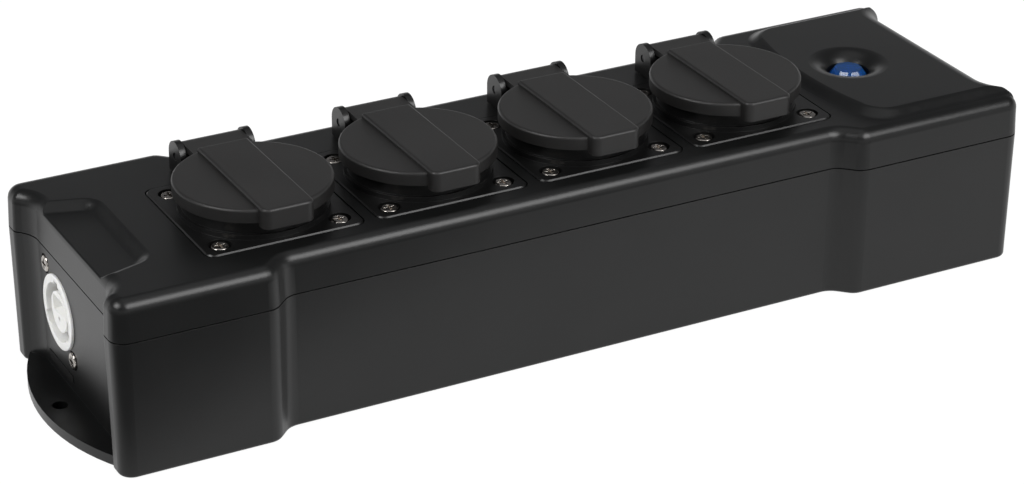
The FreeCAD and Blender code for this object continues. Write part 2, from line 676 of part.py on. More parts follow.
def make_socket_body():
    """Flange, collar, cup and hinge ears in one moulding; z = 0 is the flange's upper face."""
    flange = rounded_plate(FLANGE, FLANGE, FLANGE_R, -FLANGE_THICKNESS, 0)
    flange = flange.makeChamfer(FLANGE_CHAMFER, edges_at_height(flange, 0))
    body = flange.fuse([rod(COLLAR_D, 0, COLLAR_HEIGHT), rod(COLLAR_D + 2 * COLLAR_STEP, 0, COLLAR_STEP_HEIGHT),
                        rod(BARREL_D, CAP_TOP, -FLANGE_THICKNESS)])
    half = hinge_half_width()
    base = box(-half, half, LID_R - HINGE_BASE_LAP, HINGE_BACK + HINGE_EAR_R, 0, HINGE_BASE_HEIGHT)
    body = body.fuse([base, hinge_ear(-half, -half + HINGE_EAR_THICKNESS),
                      hinge_ear(half - HINGE_EAR_THICKNESS, half)])

    cup_bottom = COLLAR_HEIGHT - CUP_DEPTH
    cup = rod(CUP_D, cup_bottom, COLLAR_HEIGHT)
    guide_start = CUP_D / 2 - GUIDE_DEPTH
    for side in (-1, 1):
        near = side * guide_start
        far = side * CUP_D
        cup = cup.cut(box(min(near, far), max(near, far), -GUIDE_WIDTH / 2, GUIDE_WIDTH / 2,
                          cup_bottom, COLLAR_HEIGHT - GUIDE_DEPTH))
    cuts = [cup]
    for side in (-1, 1):
        cuts.append(rod(POLE_HOLE_D, CAP_TOP, cup_bottom, side * POLE_SPACING / 2))
        outer = side * (CLIP_SPAN / 2 + CONTACT_CLEARANCE)
        inner = side * (CLIP_SPAN / 2 - CLIP_THICKNESS - CONTACT_CLEARANCE)
        half_slot = CLIP_WIDTH / 2 + CONTACT_CLEARANCE
        cuts.append(box(-half_slot, half_slot, min(outer, inner), max(outer, inner), CAP_TOP, cup_bottom))
    for x, y in flange_screw_places():
        cuts.append(rod(FLANGE_SCREW_D + 2 * SCREW_CLEARANCE, -FLANGE_THICKNESS, 0, x, y))
        cuts.append(rod(HEAD_RECESS_D, -HEAD_RECESS_DEPTH, 0, x, y))
    cuts.append(rod_along_x(PIN_D + 2 * PIN_FIT, -half, half, HINGE_BACK, HINGE_RISE))
    return body.cut(Part.makeCompound(cuts)).removeSplitter()


def make_flange_gasket():
    side = FLANGE - 2 * GASKET_INSET
    bottom = -FLANGE_THICKNESS - GASKET_THICKNESS
    gasket = rounded_plate(side, side, FLANGE_R, bottom, -FLANGE_THICKNESS)
    gasket = gasket.cut(rod(BARREL_D + 2 * BARREL_CLEARANCE, bottom, 0))
    for x, y in flange_screw_places():
        gasket = gasket.cut(rod(FLANGE_SCREW_D + 2 * SCREW_CLEARANCE, bottom, 0, x, y))
    return gasket


def terminal_centres():
    """Middle of each block, in the order of TERMINALS, and the side its clamp screw comes from."""
    middle = (TERMINAL_NEAR + TERMINAL_FAR) / 2
    pole = POLE_SPACING / 2
    return [(-pole, middle, 1), (pole, -middle, -1), (0.0, 0.0, -1)]


def clamp_height():
    return CAP_BOTTOM + TERMINAL_HEIGHT / 2


def block_face(index):
    """Distance from the cap's middle to the face of a block that its clamp screw enters."""
    return EARTH_BLOCK / 2 if TERMINALS[index] == "earth" else TERMINAL_FAR


def make_pole_contacts():
    contacts = []
    for index, (x, _, side) in enumerate(terminal_centres()[:2]):
        sleeve = tube(SLEEVE_D, SLEEVE_BORE_D, CAP_BOTTOM, CAP_TOP, x)
        slit_end = CAP_BOTTOM + TERMINAL_HEIGHT
        slit = box(x - SLEEVE_SLIT / 2, x + SLEEVE_SLIT / 2, -SLEEVE_D, SLEEVE_D, slit_end, CAP_TOP)
        near = side * TERMINAL_NEAR
        far = side * TERMINAL_FAR
        block = box(x - TERMINAL_WIDTH / 2, x + TERMINAL_WIDTH / 2, min(near, far), max(near, far),
                    CAP_BOTTOM, CAP_BOTTOM + TERMINAL_HEIGHT)
        contact = sleeve.cut(slit).fuse(block).cut(rod(SLEEVE_BORE_D, CAP_BOTTOM, CAP_TOP, x))
        contacts.append(contact.cut(clamp_screw(index, SCREW_FIT)).removeSplitter())
    return Part.makeCompound(contacts)


def strip_profile(points, thickness):
    """Closed outline of a bent strip: the given (y, z) line and a copy set in by its thickness."""
    inner = []
    for index, point in enumerate(points):
        before = points[max(index - 1, 0)]
        after = points[min(index + 1, len(points) - 1)]
        along = V(0, after[0] - before[0], after[1] - before[1]).normalize()
        inner.append((point[0] - along.z * thickness, point[1] + along.y * thickness))
    loop = points + inner[::-1]
    vertices = [V(0, y, z) for y, z in loop]
    return Part.makePolygon(vertices + vertices[:1])


def make_earth_clip():
    """Earth strip across the socket: a flat bridge, two bowed tongues and a terminal block."""
    outer = CLIP_SPAN / 2
    seat = CAP_TOP
    cup_bottom = COLLAR_HEIGHT - CUP_DEPTH
    belly = (cup_bottom + CLIP_TOP) / 2
    tongue = [(outer, seat), (outer, cup_bottom + CLIP_FOOT), (outer - CLIP_BULGE, belly),
              (outer - CLIP_TIP_SET, CLIP_TOP)]
    upright = Part.Face(strip_profile(tongue, CLIP_THICKNESS)).extrude(V(CLIP_WIDTH, 0, 0))
    upright = moved(upright, -CLIP_WIDTH / 2, 0, 0)
    other = upright.mirror(V(0, 0, 0), V(0, 1, 0))
    bridge = box(-CLIP_WIDTH / 2, CLIP_WIDTH / 2, -outer, outer, seat - CLIP_THICKNESS, seat)
    half = EARTH_BLOCK / 2
    block = box(-TERMINAL_WIDTH / 2, TERMINAL_WIDTH / 2, -half, half, CAP_BOTTOM, seat - CLIP_THICKNESS)
    clip = bridge.fuse([upright, other, block])
    return clip.cut(clamp_screw(TERMINALS.index("earth"), SCREW_FIT)).removeSplitter()


def clamp_screw(index, grow=0.0):
    """Terminal clamp screw, or the hole for it when it is grown."""
    x, _, side = terminal_centres()[index]
    face = block_face(index)
    z = clamp_height()
    head_start = face + CLAMP_NECK
    end = head_start + CLAMP_HEAD_LENGTH
    shank = rod_along_y(CLAMP_SCREW_D + 2 * grow, face - CLAMP_BITE, head_start, 0, 0)
    head = rod_along_y(CLAMP_HEAD_D + 2 * grow, head_start, end, 0, 0)
    screw = shank.fuse(head)
    if not grow:
        slot_bottom = end - CLAMP_HEAD_LENGTH / 2
        half = CLAMP_SLOT / 2
        screw = screw.cut(box(-CLAMP_HEAD_D, CLAMP_HEAD_D, slot_bottom, end, -half, half))
    if side < 0:
        screw.rotate(V(0, 0, 0), UP, 180)
    return moved(screw, x, 0, z)


def make_terminal_screws():
    screws = []
    for centre in SOCKET_X:
        for index in range(len(TERMINALS)):
            screws.append(moved(clamp_screw(index), centre, ROW_SHIFT, FLANGE_TOP))
    return Part.makeCompound(screws)


def make_rear_cap():
    """Insulating cap behind the cup, with a pocket for each contact and a way in to each clamp screw."""
    cap = rod(CAP_D, CAP_BOTTOM, CAP_TOP)
    cap = cap.makeChamfer(CAP_FLOOR, edges_at_height(cap, CAP_BOTTOM))
    gap = CONTACT_CLEARANCE
    cuts = []
    for index, (x, _, side) in enumerate(terminal_centres()):
        wide = TERMINAL_WIDTH / 2 + gap
        if index < 2:
            near = side * (TERMINAL_NEAR - gap)
            far = side * (TERMINAL_FAR + gap)
            cuts.append(rod(SLEEVE_D + 2 * gap, CAP_BOTTOM, CAP_TOP, x))
            top = CAP_BOTTOM + TERMINAL_HEIGHT + gap
        else:
            near = -EARTH_BLOCK / 2 - gap
            far = EARTH_BLOCK / 2 + gap
            top = CAP_TOP
        cuts.append(box(x - wide, x + wide, min(near, far), max(near, far), CAP_BOTTOM, top))
        outside = side * CAP_D
        inside = side * (block_face(index) - gap)
        way_in = CLAMP_HEAD_D + 2 * CLAMP_HEAD_CLEARANCE
        cuts.append(rod_along_y(way_in, min(inside, outside), max(inside, outside), x, clamp_height()))
    half = CLIP_WIDTH / 2 + gap
    cuts.append(box(-half, half, -CAP_D, CAP_D, CAP_TOP - CLIP_THICKNESS - gap, CAP_TOP))
    return cap.cut(Part.makeCompound(cuts)).removeSplitter()


def make_lid():
    """Round lid with a raised band, a finger tab in front and a hinge barrel behind."""
    disc = rod(LID_D, LID_RIM_BOTTOM, LID_TOP)
    disc = disc.makeFillet(LID_EDGE_R, edges_at_height(disc, LID_TOP))
    half = BAND_WIDTH / 2
    band_top = LID_TOP + BAND_RISE
    front = -LID_R - TAB_REACH
    strip_start = LID_R - HINGE_STRIP_LAP
    back = LID_R - BAND_END
    tiny = LID_EDGE_R / 2
    corners = [(-half, front, BAND_CORNER_R), (half, front, BAND_CORNER_R),
               (half, back, tiny), (-half, back, tiny)]
    band = prism(rounded_wire(corners, LID_RIM_BOTTOM), band_top - LID_RIM_BOTTOM)
    band = band.makeFillet(LID_EDGE_R, edges_at_height(band, band_top))
    tab_back = TAB_LAP - LID_R
    tab_corners = [(-half, front, BAND_CORNER_R), (half, front, BAND_CORNER_R),
                   (half, tab_back, tiny), (-half, tab_back, tiny)]
    tab = prism(rounded_wire(tab_corners, TAB_BOTTOM), LID_RIM_BOTTOM - TAB_BOTTOM)

    strip_half = HINGE_STRIP_WIDTH / 2
    strip_top = HINGE_RISE + HINGE_BARREL_R
    strip = box(-strip_half, strip_half, strip_start, HINGE_BACK, LID_TOP - LID_PLATE, strip_top)
    barrel = rod_along_x(2 * HINGE_BARREL_R, -strip_half, strip_half, HINGE_BACK, HINGE_RISE)
    lid = disc.fuse([band, tab, strip, barrel])

    hollow = rod(LID_HOLLOW_D, TAB_BOTTOM, LID_TOP - LID_PLATE)
    bore = rod_along_x(PIN_D + 2 * PIN_RUNNING, -strip_half, strip_half, HINGE_BACK, HINGE_RISE)
    coil_r = SPRING_COIL_D / 2 + SPRING_WIRE / 2 + SPRING_ROOM
    slot_half = SPRING_SLOT / 2
    coil_room = rod_along_x(2 * coil_r, -slot_half, slot_half, HINGE_BACK, HINGE_RISE)
    under = box(-slot_half, slot_half, HINGE_BACK - HINGE_BARREL_R, HINGE_BACK + HINGE_BARREL_R,
                HINGE_RISE - HINGE_BARREL_R, HINGE_RISE)
    lid = lid.cut(Part.makeCompound([hollow, bore]))
    return lid.cut(coil_room.fuse(under)).removeSplitter()


def make_lid_seal():
    outer = LID_HOLLOW_D - 2 * SEAL_CLEARANCE
    return tube(outer, outer - 2 * SEAL_WIDTH, COLLAR_HEIGHT + SEAL_GAP, LID_TOP - LID_PLATE)


def make_hinge_pin():
    half = hinge_half_width() - PIN_SUNK
    return rod_along_x(PIN_D, -half, half, HINGE_BACK, HINGE_RISE)


def make_lid_spring():
    """Torsion spring on the pin: close turns side by side, a leg to the hinge base and a tail on top."""
    coil_r = SPRING_COIL_D / 2
    wire_r = SPRING_WIRE / 2
    crown_r = coil_r + wire_r
    bore_r = coil_r - wire_r
    right = SPRING_TURNS * wire_r
    left = -right
    outline = [V(left, bore_r, 0)]
    for turn in range(SPRING_TURNS):
        near = left + turn * SPRING_WIRE
        outline.append(V(near, crown_r - SPRING_NOTCH, 0))
        outline.append(V(near + SPRING_NOTCH, crown_r, 0))
        outline.append(V(near + SPRING_WIRE - SPRING_NOTCH, crown_r, 0))
    outline.append(V(right, crown_r - SPRING_NOTCH, 0))
    outline.append(V(right, bore_r, 0))
    coil = Part.Face(Part.makePolygon(outline + outline[:1])).revolve(V(0, 0, 0), V(1, 0, 0), 360)
    coil = moved(coil, 0, HINGE_BACK, HINGE_RISE)
    leg_bottom = HINGE_BASE_HEIGHT + SPRING_ROOM
    end_r = coil_r - SPRING_NOTCH
    leg = rod(SPRING_WIRE, leg_bottom, HINGE_RISE, left + wire_r, HINGE_BACK - end_r)
    tail_end = HINGE_BACK + SPRING_TAIL
    tail = rod_along_y(SPRING_WIRE, HINGE_BACK, tail_end, right - wire_r, HINGE_RISE + end_r)
    return coil.fuse([leg, tail]).removeSplitter()


def make_connector_body():
    """Twist-lock insert that faces +Z: a keyed ring through the wall, a slotted core, a plate behind."""
    front = WALL + PAD_RELIEF + CONNECTOR_PROUD
    plate = rounded_plate(CONNECTOR_PLATE_WIDTH, CONNECTOR_PLATE_HEIGHT, PAD_MARGIN, -CONNECTOR_PLATE, 0)
    ring = rod(CONNECTOR_RING_D, 0, front)
    ring = ring.makeFillet(CONNECTOR_PROUD / 2, edges_at_height(ring, front))
    rear = rod(CONNECTOR_REAR_D, -CONNECTOR_REAR, -CONNECTOR_PLATE)
    body = ring.fuse([plate, rear])
    mouth = rod(CONNECTOR_MOUTH_D, front - CONNECTOR_MOUTH_DEPTH, front)
    for angle in TAB_ANGLES.values():
        key = box(-CONNECTOR_KEY_WIDTH / 2, CONNECTOR_KEY_WIDTH / 2, 0,
                  CONNECTOR_MOUTH_D / 2 + CONNECTOR_KEY_DEPTH, front - CONNECTOR_MOUTH_DEPTH / 2, front)
        key.rotate(V(0, 0, 0), UP, angle - 90)
        mouth = mouth.fuse(key)
    core = rod(CONNECTOR_CORE_D, front - CONNECTOR_MOUTH_DEPTH, front - CONNECTOR_CORE_SUNK)
    body = body.cut(mouth.cut(core))
    core_face = front - CONNECTOR_CORE_SUNK
    scoop_left = CONNECTOR_SCOOP_WALL - CONNECTOR_CORE_D / 2
    scoop_top = CONNECTOR_CORE_D / 2 - CONNECTOR_SCOOP_WALL
    cuts = [contact_tab(angle, CONTACT_CLEARANCE) for angle in TAB_ANGLES.values()]
    cuts.append(box(scoop_left, CONNECTOR_CORE_D / 2, scoop_top - CONNECTOR_SCOOP_HEIGHT, scoop_top,
                    core_face - CONNECTOR_SCOOP, core_face))
    cuts.append(rod(CONNECTOR_EYE_D, core_face - CONNECTOR_SCOOP, core_face, 0, -CONNECTOR_EYE_DROP))
    for x, y in connector_places():
        cuts.append(rod(CONNECTOR_SCREW_D + 2 * SCREW_FIT, -CONNECTOR_PLATE, 0, x, y))
    return body.cut(Part.makeCompound(cuts)).removeSplitter()


def contact_tab(angle, grow=0.0):
    """Flat contact in the side of a connector's core, with a tab behind, or its slot when grown."""
    front = WALL + PAD_RELIEF + CONNECTOR_PROUD
    top = front - CONNECTOR_CORE_SUNK - CONNECTOR_TAB_SUNK + grow
    bottom = -CONNECTOR_REAR - (0 if grow else TAB_LENGTH)
    half = TAB_WIDTH / 2 + grow
    near = TAB_CIRCLE_R - TAB_THICKNESS / 2 - grow
    far = TAB_CIRCLE_R + TAB_THICKNESS / 2 + grow
    tab = box(-half, half, near, far, bottom, top)
    if grow:
        mouth_floor = front - CONNECTOR_MOUTH_DEPTH
        tab = tab.fuse(box(-half, half, near, CONNECTOR_CORE_D / 2, mouth_floor, top))
    tab.rotate(V(0, 0, 0), UP, angle - 90)
    return tab


def make_connector_contacts():
    return Part.makeCompound([contact_tab(angle) for angle in TAB_ANGLES.values()])


def make_connector_screws():
    screw = cross_head_screw(CONNECTOR_HEAD_D, CONNECTOR_HEAD_HEIGHT, CONNECTOR_SCREW_D,
                             CONNECTOR_SCREW_LENGTH)
    face = END_WALL - wall_inset(CONNECTOR_RISE)
    screws = []
    for side in ENDS.values():
        for x, y in connector_places():
            screws.append(at_end(moved(screw, x, y, 0), side, face - CONNECTOR_HEAD_SUNK))
    return Part.makeCompound(screws)


def lens_shoulder():
    return PLATEAU_TOP - LENS_DOME_SUNK - LENS_DOME


def lens_ceiling():
    return lens_shoulder() - LENS_WALL


def make_pilot_lens():
    """Domed cap with a flange that bears up against the lip under the dish."""
    seat = lamp_lip_bottom()
    base = seat - LENS_FLANGE
    shoulder = lens_shoulder()
    half = LENS_D / 2
    inner = half - LENS_WALL
    crown = shoulder + LENS_DOME
    points = [V(inner, 0, base), V(LENS_FLANGE_D / 2, 0, base), V(LENS_FLANGE_D / 2, 0, seat),
              V(half, 0, seat), V(half, 0, shoulder)]
    edges = [Part.LineSegment(a, b).toShape() for a, b in zip(points, points[1:])]
    ball_r = (half ** 2 + LENS_DOME ** 2) / (2 * LENS_DOME)
    half_angle = math.asin(half / ball_r) / 2
    dome_mid = V(ball_r * math.sin(half_angle), 0, crown - ball_r * (1 - math.cos(half_angle)))
    edges.append(Part.Arc(points[-1], dome_mid, V(0, 0, crown)).toShape())
    ceiling = lens_ceiling()
    edges.append(Part.LineSegment(V(0, 0, crown), V(0, 0, ceiling)).toShape())
    edges.append(Part.LineSegment(V(0, 0, ceiling), V(inner, 0, ceiling)).toShape())
    edges.append(Part.LineSegment(V(inner, 0, ceiling), points[0]).toShape())
    lens = Part.Face(Part.Wire(edges)).revolve(V(0, 0, 0), UP, 360)
    return moved(lens, LAMP_X, 0, 0)


def holder_top():
    return lamp_lip_bottom() - LENS_FLANGE


def make_pilot_holder():
    top = holder_top()
    return tube(LENS_FLANGE_D, LED_D + 2 * LED_CLEARANCE, top - HOLDER_THICKNESS, top, LAMP_X)


def make_pilot_led():
    """Round light source through the holder, its collar under the holder and its two pins down."""
    bottom = holder_top() - HOLDER_THICKNESS
    dome_z = lens_ceiling() - LED_GAP - LED_D / 2
    body = rod(LED_D, bottom, dome_z, LAMP_X)
    dome = Part.makeSphere(LED_D / 2, V(LAMP_X, 0, dome_z))
    collar = rod(LED_FLANGE_D, bottom - LED_FLANGE, bottom, LAMP_X)
    pins = [rod(LED_PIN_D, bottom - LED_PIN_LENGTH, bottom, LAMP_X + side * LED_PIN_SPACING / 2)
            for side in (-1, 1)]
    return body.fuse([dome, collar] + pins).removeSplitter()


def make_pilot_ring():
    top = holder_top() - HOLDER_THICKNESS
    return tube(LENS_FLANGE_D, RING_BORE_D, top - RING_HEIGHT, top, LAMP_X)


def conductor(points, diameter, radii):
    """Round wire along straight runs, with a tangent arc at each turn."""
    edges = []
    start = points[0]
    for before, corner, after, radius in zip(points, points[1:], points[2:], radii):
        back = (before - corner).normalize()
        ahead = (after - corner).normalize()
        half = back.getAngle(ahead) / 2
        inward = (back + ahead).normalize()
        reach = radius / math.tan(half)
        turn_in = corner + back * reach
        turn_out = corner + ahead * reach
        middle = corner + inward * (radius / math.sin(half) - radius)
        edges.append(Part.LineSegment(start, turn_in).toShape())
        edges.append(Part.Arc(turn_in, middle, turn_out).toShape())
        start = turn_out
    edges.append(Part.LineSegment(start, points[-1]).toShape())
    profile = Part.makeCircle(diameter / 2, points[0], points[1] - points[0])
    return Part.Wire(edges).makePipeShell([Part.Wire(profile)], True, False)


def tab_end(side, angle):
    """Rear end of one contact tab of an end connector."""
    turn = math.radians(angle)
    depth = SEAT_X - CONNECTOR_REAR - TAB_LENGTH
    across = side * TAB_CIRCLE_R * math.cos(turn)
    return V(side * depth, CONNECTOR_SHIFT + across, CONNECTOR_RISE + TAB_CIRCLE_R * math.sin(turn))


def terminal_bottom():
    return FLANGE_TOP + CAP_BOTTOM


def make_circuit(name, layer, stubs):
    """One conductor all the way: outlet tab, each socket's terminal in turn, inlet tab."""
    x, y, _ = terminal_centres()[TERMINALS.index(name)]
    terminal_z = terminal_bottom()
    low_z = terminal_z - WIRE_DROP - layer * WIRE_LAYER
    row_y = ROW_SHIFT + y
    offset = WIRE_SPREAD / 2
    wires = []
    for left, right in zip(SOCKET_X, SOCKET_X[1:]):
        start = left + x + offset
        end = right + x - offset
        points = [V(start, row_y, terminal_z), V(start, row_y, low_z),
                  V(end, row_y, low_z), V(end, row_y, terminal_z)]
        wires.append(conductor(points, WIRE_D, [WIRE_BEND_R, WIRE_BEND_R]))
    for end_side in ENDS.values():
        tab = tab_end(end_side, TAB_ANGLES[name])
        terminal_x = (SOCKET_X[0] + x - offset) if end_side < 0 else (SOCKET_X[-1] + x + offset)
        drop_x = tab.x - end_side * TAB_STUB * stubs
        points = [tab, V(drop_x, tab.y, tab.z), V(drop_x, tab.y, low_z), V(terminal_x, row_y, low_z),
                  V(terminal_x, row_y, terminal_z)]
        wires.append(conductor(points, WIRE_D, [WIRE_TIGHT_R] * 3))
    return Part.makeCompound(wires)


def make_lamp_leads():
    """Two thin leads from the lamp's pins to the last socket's line and neutral terminals."""
    pin_z = holder_top() - HOLDER_THICKNESS - LED_PIN_LENGTH
    leads = []
    for index, (x, y, side) in enumerate(terminal_centres()[:2]):
        pin_x = LAMP_X - side * LED_PIN_SPACING / 2
        low_z = terminal_bottom() - LEAD_DROP - index * LEAD_LAYER
        end = V(SOCKET_X[-1] + x, ROW_SHIFT + y + side * LEAD_ASIDE, terminal_bottom())
        points = [V(pin_x, 0, pin_z), V(pin_x, 0, low_z), V(end.x, end.y, low_z), end]
        leads.append(conductor(points, LEAD_D, [LEAD_BEND_R, LEAD_BEND_R]))
    return Part.makeCompound(leads)


def make_parts():
    parts = {"upper_cover": make_upper_cover(), "lower_tray": make_lower_tray(),
             "case_screws": make_case_screws(), "flange_screws": make_flange_screws(),
             "terminal_screws": make_terminal_screws(), "connector_screws": make_connector_screws()}
    socket_pieces = {"socket_body": make_socket_body(), "flange_gasket": make_flange_gasket(),
                     "rear_cap": make_rear_cap(), "pole_contacts": make_pole_contacts(),
                     "earth_clip": make_earth_clip(), "lid": make_lid(), "lid_seal": make_lid_seal(),
                     "hinge_pin": make_hinge_pin(), "lid_spring": make_lid_spring()}
    for number, centre in enumerate(SOCKET_X, start=1):
        for name, shape in socket_pieces.items():
            parts[f"{name}_{number}"] = moved(shape, centre, ROW_SHIFT, FLANGE_TOP)
    body = make_connector_body()
    contacts = make_connector_contacts()
    for name, side in ENDS.items():
        parts[f"{name}_body"] = at_end(body, side, SEAT_X)
        parts[f"{name}_contacts"] = at_end(contacts, side, SEAT_X)
    parts["pilot_lens"] = make_pilot_lens()
    parts["pilot_holder"] = make_pilot_holder()
    parts["pilot_led"] = make_pilot_led()
    parts["pilot_ring"] = make_pilot_ring()
    parts["line_wires"] = make_circuit("line", layer=0, stubs=2)
    parts["earth_wires"] = make_circuit("earth", layer=1, stubs=1)
    parts["neutral_wires"] = make_circuit("neutral", layer=2, stubs=1)
    parts["lamp_leads"] = make_lamp_leads()
    return parts


os.makedirs("parts", exist_ok=True)
for name, shape in make_parts().items():
    shape.exportStep(f"parts/{name}.step")
    solids = shape.Solids
    print(f"{name}: {len(solids)} solid(s), {shape.Volume / 1000:.2f} cm3, valid {shape.isValid()}")
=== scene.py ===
# Power distribution box: the looks of its pieces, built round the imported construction.
# Metres, in the construction's frame: X along the box, Y towards the lid hinges, Z up.
import json
import math

import bmesh
import bpy
from mathutils import Matrix, Vector


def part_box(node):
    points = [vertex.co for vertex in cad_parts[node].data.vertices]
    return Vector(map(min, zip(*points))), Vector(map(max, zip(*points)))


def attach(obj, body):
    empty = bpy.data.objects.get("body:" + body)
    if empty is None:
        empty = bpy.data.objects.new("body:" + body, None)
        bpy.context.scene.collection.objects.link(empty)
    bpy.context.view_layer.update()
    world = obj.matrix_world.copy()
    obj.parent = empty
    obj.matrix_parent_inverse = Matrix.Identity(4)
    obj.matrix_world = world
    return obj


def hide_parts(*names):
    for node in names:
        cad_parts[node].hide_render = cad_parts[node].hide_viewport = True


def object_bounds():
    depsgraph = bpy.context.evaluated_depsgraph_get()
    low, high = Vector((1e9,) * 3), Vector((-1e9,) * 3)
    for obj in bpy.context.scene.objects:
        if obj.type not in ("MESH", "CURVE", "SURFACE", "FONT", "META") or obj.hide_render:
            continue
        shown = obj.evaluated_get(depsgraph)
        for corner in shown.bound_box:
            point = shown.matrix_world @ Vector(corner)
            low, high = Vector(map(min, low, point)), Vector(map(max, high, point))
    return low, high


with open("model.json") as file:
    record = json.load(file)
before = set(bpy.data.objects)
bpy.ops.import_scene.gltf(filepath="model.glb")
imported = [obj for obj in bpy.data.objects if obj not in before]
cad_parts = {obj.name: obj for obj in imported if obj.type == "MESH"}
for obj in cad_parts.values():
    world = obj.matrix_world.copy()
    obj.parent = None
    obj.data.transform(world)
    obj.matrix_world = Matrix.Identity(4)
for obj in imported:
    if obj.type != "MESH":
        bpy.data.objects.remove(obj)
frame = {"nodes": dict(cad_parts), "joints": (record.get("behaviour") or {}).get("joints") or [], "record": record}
construction_box = [list(corner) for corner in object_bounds()]


# Housing: an upper cover on a lower tray, both injection moulded in black plastic with a fine
# spark-eroded grain. Six screws from below pull the two together along the dark seam.
EDGE_SAMPLES = 6
GRAIN_STRENGTH = 0.5
GRAIN_DETAIL = 2.0
DRIFT_SCALE = 45.0         # patches of tone and gloss to a metre
DRIFT_DETAIL = 4.0
DARK_TONE_AT = 0.35
LIGHT_TONE_AT = 0.65


def new_material(name):
    """A material and its main shader."""
    material = bpy.data.materials.new(name)
    material.use_nodes = True
    return material, material.node_tree.nodes["Principled BSDF"]


def add(tree, kind, **settings):
    """A node with its settings; keys that name an input socket are set on the socket."""
    node = tree.nodes.new(kind)
    for key, value in settings.items():
        socket = node.inputs.get(key.replace("_", " ").title())
        if socket:
            socket.default_value = value
        else:
            setattr(node, key, value)
    return node


def join(tree, *pairs):
    """Links outputs to inputs, pair by pair."""
    for source, target in pairs:
        tree.links.new(source, target)


def spread(tree, source, low, high):
    """A texture's 0..1 output spread over a range."""
    ranged = add(tree, "ShaderNodeMapRange", to_min=low, to_max=high)
    join(tree, (source, ranged.inputs["Value"]))
    return ranged.outputs["Result"]


def grain(tree, shader, size, height, edge_radius):
    """Moulded grain of a size and height in metres, over edges that are softened by a small radius."""
    place = add(tree, "ShaderNodeTexCoord")
    edge = add(tree, "ShaderNodeBevel", samples=EDGE_SAMPLES, radius=edge_radius)
    pits = add(tree, "ShaderNodeTexNoise", scale=1 / size, detail=GRAIN_DETAIL)
    bump = add(tree, "ShaderNodeBump", strength=GRAIN_STRENGTH, distance=height)
    join(tree,
         (place.outputs["Object"], pits.inputs["Vector"]),
         (pits.outputs["Fac"], bump.inputs["Height"]),
         (edge.outputs["Normal"], bump.inputs["Normal"]),
         (bump.outputs["Normal"], shader.inputs["Normal"]))
    return place.outputs["Object"]


def two_tones(tree, source, dark, light):
    """Colour that drifts between two tones with a texture."""
    ramp = add(tree, "ShaderNodeValToRGB")
    first, last = ramp.color_ramp.elements
    first.position = DARK_TONE_AT
    first.color = (*dark, 1)
    last.position = LIGHT_TONE_AT
    last.color = (*light, 1)
    join(tree, (source, ramp.inputs["Fac"]))
    return ramp.outputs["Color"]


def moulded_plastic(name, dark, light, smooth, rough, specular, grain_size, grain_height, edge_radius):
    """Black or coloured moulding: drifting tone and gloss over a fine grain."""
    material, shader = new_material(name)
    tree = material.node_tree
    place = grain(tree, shader, grain_size, grain_height, edge_radius)
    drift = add(tree, "ShaderNodeTexNoise", scale=DRIFT_SCALE, detail=DRIFT_DETAIL)
    tone = drift.outputs["Fac"]
    join(tree,
         (place, drift.inputs["Vector"]),
         (two_tones(tree, tone, dark, light), shader.inputs["Base Color"]),
         (spread(tree, tone, smooth, rough), shader.inputs["Roughness"]))
    shader.inputs["Specular IOR Level"].default_value = specular
    return material


def finish_nodes(material, *names):
    """Gives construction nodes their material."""
    for name in names:
        slots = frame["nodes"][name].data.materials
        slots.clear()
        slots.append(material)


housing_black = moulded_plastic("housing_black", dark=(0.0034, 0.0036, 0.0036),
                                light=(0.0046, 0.0048, 0.0048), smooth=0.30, rough=0.36, specular=0.40,
                                grain_size=0.00035, grain_height=0.00002, edge_radius=0.0001)
finish_nodes(housing_black, "upper_cover", "lower_tray")


# Panel sockets: square flange, collar, cup and hinge cheeks in one glossier black moulding, each on a
# rubber gasket in its recess in the deck. Caps behind them hold the contacts.
socket_numbers = range(1, len(frame["joints"]) + 1)
socket_black = moulded_plastic("socket_black", dark=(0.0034, 0.0034, 0.0034),
                               light=(0.0048, 0.0048, 0.0048), smooth=0.28, rough=0.36, specular=0.42,
                               grain_size=0.0003, grain_height=0.00001, edge_radius=0.0001)
gasket_rubber = moulded_plastic("gasket_rubber", dark=(0.012, 0.012, 0.012), light=(0.018, 0.018, 0.018),
                                smooth=0.7, rough=0.85, specular=0.3, grain_size=0.0004,
                                grain_height=0.00003, edge_radius=0.0002)
cap_grey = moulded_plastic("cap_grey", dark=(0.045, 0.045, 0.047), light=(0.06, 0.06, 0.062),
                           smooth=0.45, rough=0.6, specular=0.4, grain_size=0.0005,
                           grain_height=0.00003, edge_radius=0.0003)
for number in socket_numbers:
    finish_nodes(socket_black, f"socket_body_{number}")
    finish_nodes(gasket_rubber, f"flange_gasket_{number}", f"lid_seal_{number}")
    finish_nodes(cap_grey, f"rear_cap_{number}")


# Contacts: stamped brass sleeves for the poles and a plated strip with two sprung tongues for earth,
# held in the caps; the same brass makes the flat contacts of the end connectors.
METAL_EDGE_R = 0.00015
METAL_DRIFT_SCALE = 220.0
METAL_DRIFT_DETAIL = 3.0


def metal(name, colour, smooth, rough, mark_size, mark_height):
    """Bare or plated metal with fine marks and a gloss that drifts."""
    material, shader = new_material(name)
    tree = material.node_tree
    place = grain(tree, shader, mark_size, mark_height, METAL_EDGE_R)
    drift = add(tree, "ShaderNodeTexNoise", scale=METAL_DRIFT_SCALE, detail=METAL_DRIFT_DETAIL)
    join(tree,
         (place, drift.inputs["Vector"]),
         (spread(tree, drift.outputs["Fac"], smooth, rough), shader.inputs["Roughness"]))
    shader.inputs["Base Color"].default_value = (*colour, 1)
    shader.inputs["Metallic"].default_value = 1.0
    return material


